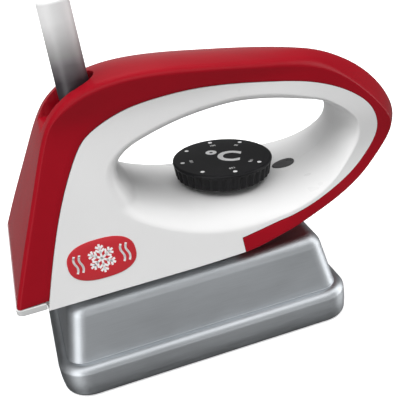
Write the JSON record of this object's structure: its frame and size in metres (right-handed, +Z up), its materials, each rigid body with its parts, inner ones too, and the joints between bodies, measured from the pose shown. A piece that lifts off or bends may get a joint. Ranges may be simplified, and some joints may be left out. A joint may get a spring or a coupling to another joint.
{
  "type": "waxing iron",
  "caption": "Electric iron for melting wax into ski and snowboard bases: thick flat aluminium sole, tapered heater cover, closed-loop handle with thermostat dial and swivelling cord boot.",
  "frame": {"origin": "centre of the flat underside of the sole", "axes": "+X toward the nose of the handle, +Z up away from the sole, +Y to the left side; the cord leaves at the rear, -X"},
  "size_m": [0.2045, 0.0946, 0.1752],
  "materials": {
    "sole_aluminium": "machined, softly brushed",
    "cover_aluminium": "drawn sheet, softly brushed lengthwise",
    "white_shell": "moulded, fine satin gloss",
    "red_rim": "moulded, gloss",
    "badge_red": "printed label, gloss",
    "dial_black": "moulded, satin, white print",
    "lens_grey": "smoked lens",
    "lamp_glass": "clear",
    "boot_grey": "satin",
    "cord_dark": "satin",
    "brass": "turned",
    "plated_steel": "zinc plated",
    "bimetal": "rolled",
    "ceramic": "steatite ceramic, stood in for by matte plastic",
    "fuse_case": "sleeved metal case",
    "mineral_felt": "mineral felt",
    "element_sheath": "heat-darkened sheath",
    "block_plastic": "moulded",
    "wire_brown": "insulation",
    "wire_blue": "insulation",
    "wire_green": "insulation",
    "lead_sleeve": "woven glass sleeve"
  },
  "bodies": {
    "iron": {"adjuster_bush": "plated_steel", "bimetal_strip": "bimetal", "body_shell_left": "white_shell", "body_shell_right": "white_shell", "ceramic_stack": "ceramic", "cord_well": "red_rim", "element_clamp": "plated_steel", "element_clamp_screw": "plated_steel", "element_lead_left": "lead_sleeve", "element_lead_right": "lead_sleeve", "element_terminal_left": "brass", "element_terminal_right": "brass", "fixed_contact": "brass", "fuse_clip": "plated_steel", "handle_bottom_plate": "white_shell", "heater_cover": "cover_aluminium", "heating_element": "element_sheath", "insulation_pad": "mineral_felt", "neon_lamp": "lamp_glass", "pilot_lamp_lens": "lens_grey", "rim_cover": "red_rim", "shell_screw_front": "plated_steel", "shell_screw_rear": "plated_steel", "side_badge_left": "badge_red", "side_badge_right": "badge_red", "sole_plate": "sole_aluminium", "spindle_bushing": "brass", "standoff_front_left": "plated_steel", "standoff_front_right": "plated_steel", "standoff_rear_left": "plated_steel", "standoff_rear_right": "plated_steel", "standoff_screw_front_left": "plated_steel", "standoff_screw_front_right": "plated_steel", "standoff_screw_rear_left": "plated_steel", "standoff_screw_rear_right": "plated_steel", "terminal_block": "block_plastic", "thermal_fuse": "fuse_case", "thermostat_bracket": "plated_steel", "wire_earth": "wire_green", "wire_live": "wire_brown", "wire_neutral": "wire_blue"},
    "dial": {"dial_knob": "dial_black", "thermostat_spindle": "plated_steel"},
    "adjuster": {"thermostat_adjuster": "brass"},
    "contact": {"contact_arm": "brass"},
    "cord": {"cord_swivel_ball": "boot_grey", "cord_boot": "boot_grey", "power_cord": "cord_dark"}
  },
  "joints": [
    {"name": "dial_turn", "type": "hinge", "parent": "iron", "child": "dial", "pos_m": [0.0294, 0, 0.079], "axis": [-0.0924, 0, -0.9957], "range_deg": [0, 315]},
    {"name": "adjuster_slide", "type": "slide", "parent": "iron", "child": "adjuster", "axis": [-0.0924, 0, -0.9957], "range_m": [0, 0.00051]},
    {"name": "contact_flex", "type": "hinge", "parent": "iron", "child": "contact", "pos_m": [0.0168, 0, 0.0266], "axis": [0, 1, 0], "range_deg": [0, 2.45]},
    {"name": "cord_swing", "type": "hinge", "parent": "iron", "child": "cord", "pos_m": [-0.033, 0, 0.117], "axis": [0, 1, 0], "range_deg": [-40, 1]}
  ],
  "couplings": [
    {"joint": "adjuster_slide", "follows": "dial_turn", "m_per_rad": 0.00009094},
    {"joint": "contact_flex", "follows": "dial_turn", "ratio": 0.007619}
  ]
}
